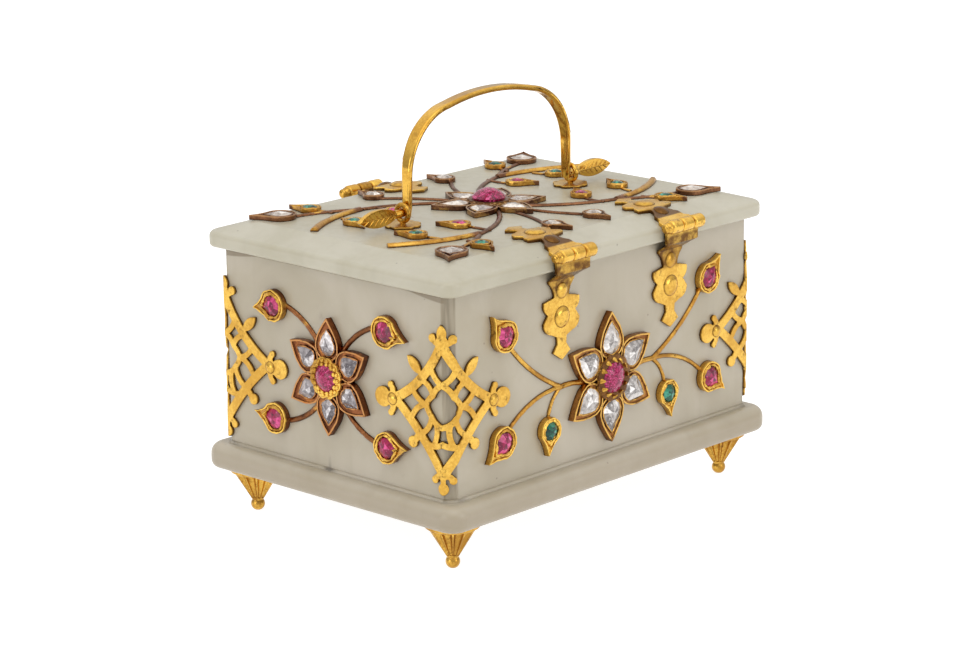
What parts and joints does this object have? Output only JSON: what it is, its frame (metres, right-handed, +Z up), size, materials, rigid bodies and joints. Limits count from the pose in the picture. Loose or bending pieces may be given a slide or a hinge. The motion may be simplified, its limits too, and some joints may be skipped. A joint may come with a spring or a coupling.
{
  "type": "jeweled casket",
  "caption": "Pale stone casket with a hinged lid, swinging strap handle and hasp, openwork gold corner mounts, and floral sprays set with rubies, emeralds and diamonds.",
  "frame": {"origin": "on the ground under the middle of the casket's bounding box", "axes": "+X along the casket, hasp facing -Y, hinges facing +Y, +Z up"},
  "size_m": [0.1284, 0.0998, 0.1133],
  "materials": {
    "jade": "polished",
    "gold": "polished",
    "copper_gold": "satin",
    "ruby": "polished",
    "emerald": "polished",
    "diamond": "polished"
  },
  "bodies": {
    "box": {"base_plinth": "jade", "corner_mount_back_left": "gold", "corner_mount_back_right": "gold", "corner_mount_front_left": "gold", "corner_mount_front_right": "gold", "corner_rivets": "gold", "diamonds_back": "diamond", "diamonds_front": "diamond", "diamonds_left": "diamond", "diamonds_right": "diamond", "emeralds_back": "emerald", "emeralds_front": "emerald", "flower_back": "copper_gold", "flower_front": "copper_gold", "flower_left": "copper_gold", "flower_right": "copper_gold", "foot_back_left": "gold", "foot_back_right": "gold", "foot_front_left": "gold", "foot_front_right": "gold", "hasp_staple": "gold", "hinge_pin_left": "gold", "hinge_pin_right": "gold", "hinge_wall_leaf_left": "gold", "hinge_wall_leaf_right": "gold", "hinge_wall_rivets": "gold", "rubies_back": "ruby", "rubies_front": "ruby", "rubies_left": "ruby", "rubies_right": "ruby", "sprays_back": "gold", "sprays_front": "gold", "sprays_left": "gold", "sprays_right": "gold", "wall_back": "jade", "wall_front": "jade", "wall_left": "jade", "wall_right": "jade"},
    "lid": {"diamonds_lid": "diamond", "emeralds_lid": "emerald", "flower_lid": "copper_gold", "handle_eye_left": "gold", "handle_eye_right": "gold", "handle_rosette_left": "gold", "handle_rosette_right": "gold", "hasp_lid_leaf": "gold", "hasp_pin": "gold", "hasp_rivets": "gold", "hinge_lid_leaf_left": "gold", "hinge_lid_leaf_right": "gold", "hinge_lid_rivets": "gold", "lid_slab": "jade", "rubies_lid": "ruby", "sprays_lid": "gold"},
    "handle": {"handle_bail": "gold"},
    "tongue": {"hasp_tongue": "gold"}
  },
  "joints": [
    {"name": "lid_hinge", "type": "hinge", "parent": "box", "child": "lid", "pos_m": [0, 0.048, 0.0783], "axis": [-1, 0, 0], "range_deg": [0, 105]},
    {"name": "handle_swing", "type": "hinge", "parent": "lid", "child": "handle", "pos_m": [0, 0, 0.0843], "axis": [1, 0, 0], "range_deg": [-84, 84]},
    {"name": "hasp_swing", "type": "hinge", "parent": "lid", "child": "tongue", "pos_m": [0, -0.048, 0.0783], "axis": [-1, 0, 0], "range_deg": [-15, 100]}
  ]
}
